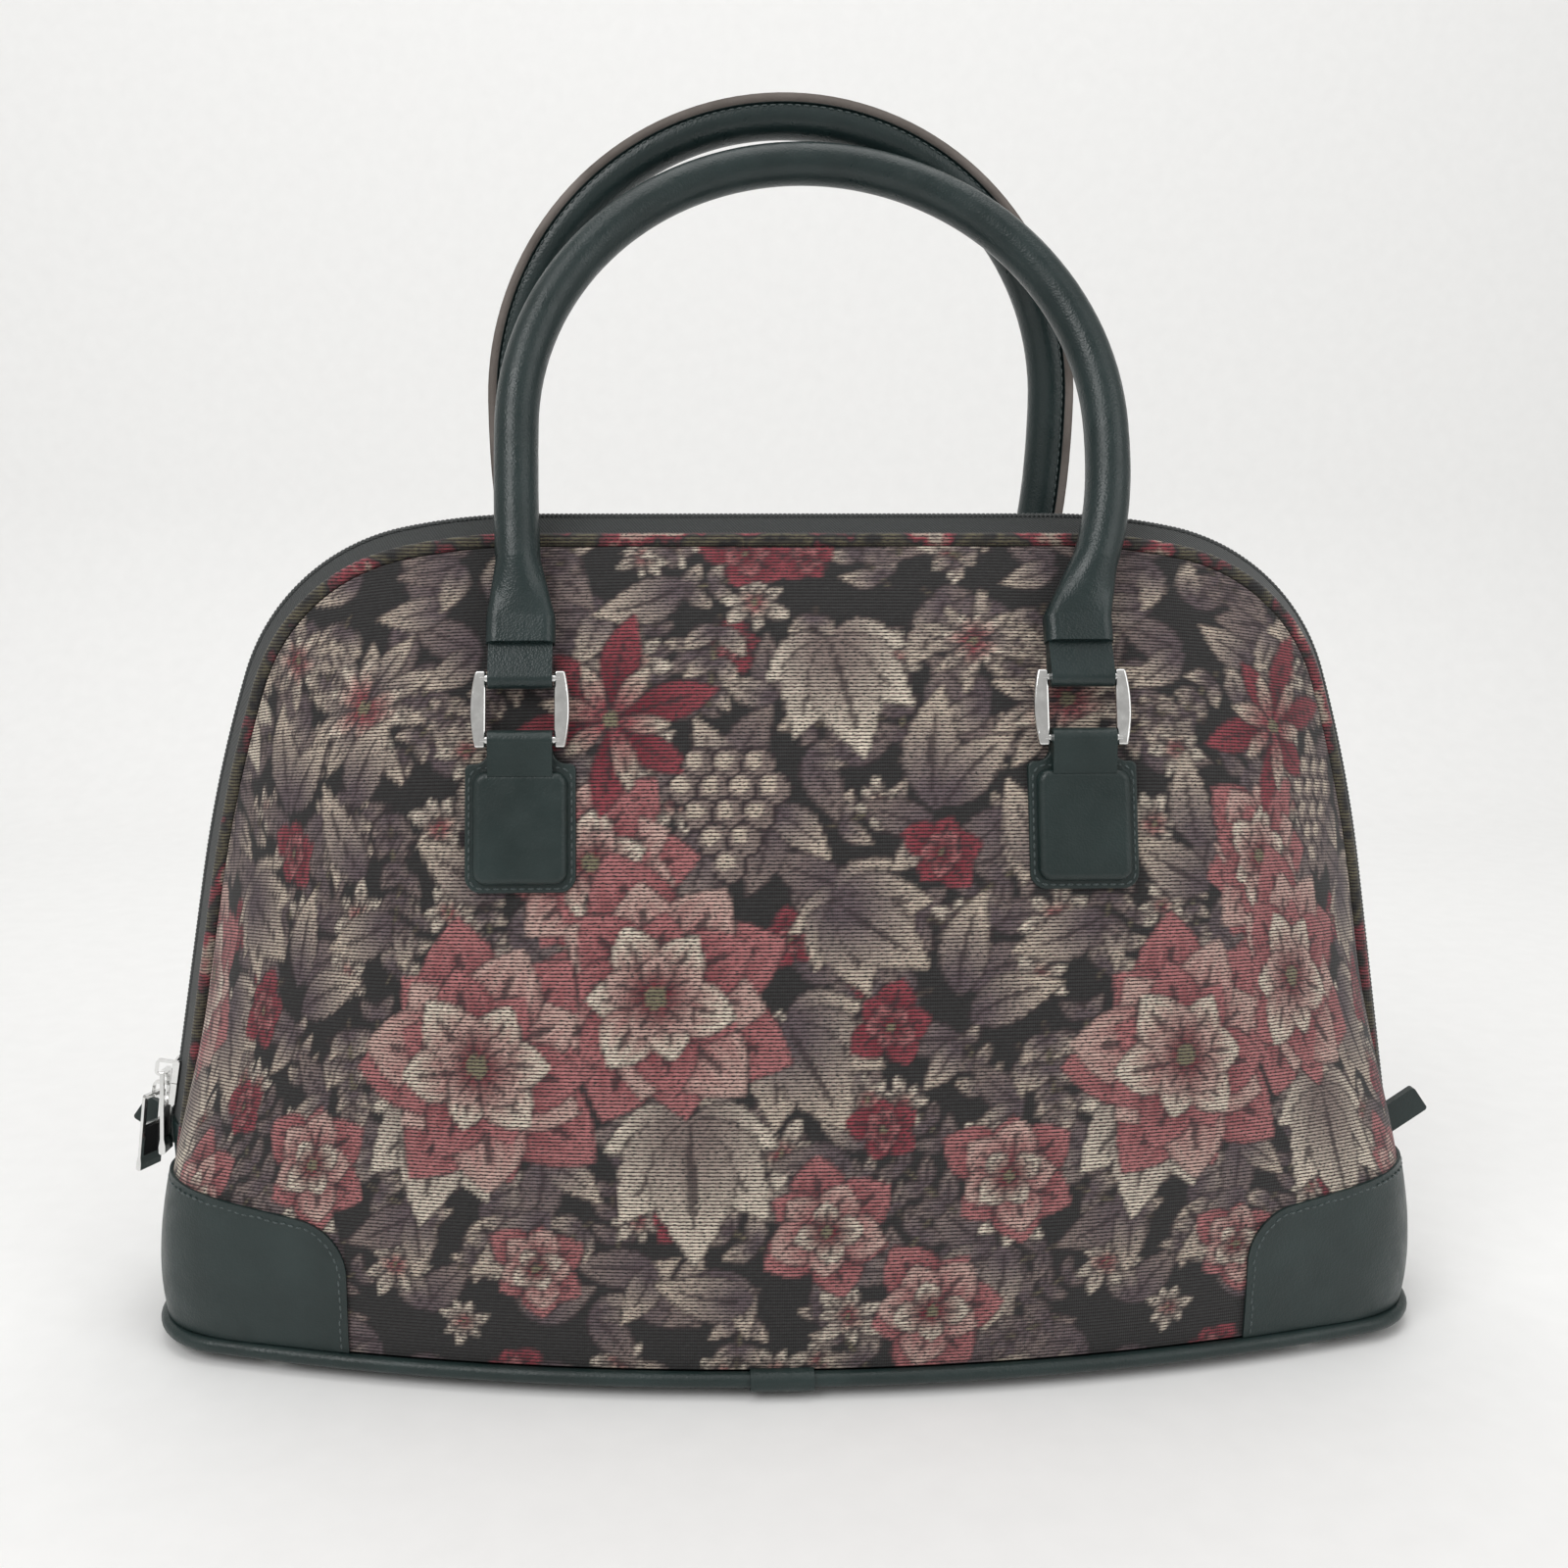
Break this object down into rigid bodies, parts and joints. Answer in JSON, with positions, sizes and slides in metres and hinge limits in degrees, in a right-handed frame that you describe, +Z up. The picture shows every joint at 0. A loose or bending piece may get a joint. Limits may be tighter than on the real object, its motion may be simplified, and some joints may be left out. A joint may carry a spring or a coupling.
{
  "type": "carpet bag",
  "caption": "Domed tapestry carpet bag with leather corners, rolled handles on metal links, a zip over the top and feet under a stiff base",
  "frame": {"origin": "on the table under the middle of the bag", "axes": "X to the right seen from the front, Y to the back, Z up"},
  "size_m": [0.5742, 0.1833, 0.5217],
  "materials": {
    "fabric": "woven floral tapestry with horizontal ribs",
    "leather": "fine grain, soft gloss",
    "handle_leather": "fine grain, rolled, soft gloss",
    "piping": "tapestry wrapped round a cord",
    "zip_tape": "herringbone tape",
    "zip_coil": "satin",
    "silver": "polished",
    "pull_label": "smooth",
    "board": "matt",
    "core": "cord"
  },
  "bodies": {
    "bag": {"front_panel": "fabric", "rear_panel": "fabric", "front_piping": "piping", "rear_piping": "piping", "front_zip_tape": "zip_tape", "rear_zip_tape": "zip_tape", "zip_coil": "zip_coil", "left_end_gusset": "leather", "right_end_gusset": "leather", "left_zip_end_tab": "leather", "right_zip_end_tab": "leather", "base_panel": "leather", "base_welt": "leather", "welt_sleeve": "leather", "front_left_corner_patch": "leather", "front_right_corner_patch": "leather", "rear_left_corner_patch": "leather", "rear_right_corner_patch": "leather", "front_left_chape": "leather", "front_right_chape": "leather", "rear_left_chape": "leather", "rear_right_chape": "leather", "base_board": "board", "front_left_foot": "silver", "front_right_foot": "silver", "rear_left_foot": "silver", "rear_right_foot": "silver", "upper_slider": "silver", "lower_slider": "silver"},
    "front_links": {"front_left_link": "silver", "front_right_link": "silver"},
    "front_handle": {"front_handle_cover": "handle_leather", "front_handle_core": "core", "front_left_loop": "handle_leather", "front_right_loop": "handle_leather"},
    "rear_links": {"rear_left_link": "silver", "rear_right_link": "silver"},
    "rear_handle": {"rear_handle_cover": "handle_leather", "rear_handle_core": "core", "rear_left_loop": "handle_leather", "rear_right_loop": "handle_leather"},
    "upper_pull": {"upper_pull": "silver", "upper_pull_label": "pull_label"},
    "lower_pull": {"lower_pull": "silver", "lower_pull_label": "pull_label"}
  },
  "joints": [
    {"name": "front_links_swing", "type": "hinge", "parent": "bag", "child": "front_links", "pos_m": [0, -0.0575, 0.257], "axis": [1, 0, 0], "range_deg": [0, 100]},
    {"name": "front_handle_swing", "type": "hinge", "parent": "front_links", "child": "front_handle", "pos_m": [0, -0.05169, 0.28029], "axis": [1, 0, 0], "range_deg": [0, 80]},
    {"name": "rear_links_swing", "type": "hinge", "parent": "bag", "child": "rear_links", "pos_m": [0, 0.0575, 0.257], "axis": [-1, 0, 0], "range_deg": [0, 93]},
    {"name": "rear_handle_swing", "type": "hinge", "parent": "rear_links", "child": "rear_handle", "pos_m": [0, 0.05457, 0.28082], "axis": [-1, 0, 0], "range_deg": [0, 66]},
    {"name": "upper_pull_swing", "type": "hinge", "parent": "bag", "child": "upper_pull", "pos_m": [-0.27026, 0, 0.10326], "axis": [0, 0.9903, -0.1392], "range_deg": [0, 3]},
    {"name": "lower_pull_swing", "type": "hinge", "parent": "bag", "child": "lower_pull", "pos_m": [-0.27487, -0.00229, 0.09376], "axis": [0.5299, 0.848, 0], "range_deg": [0, 8]}
  ]
}
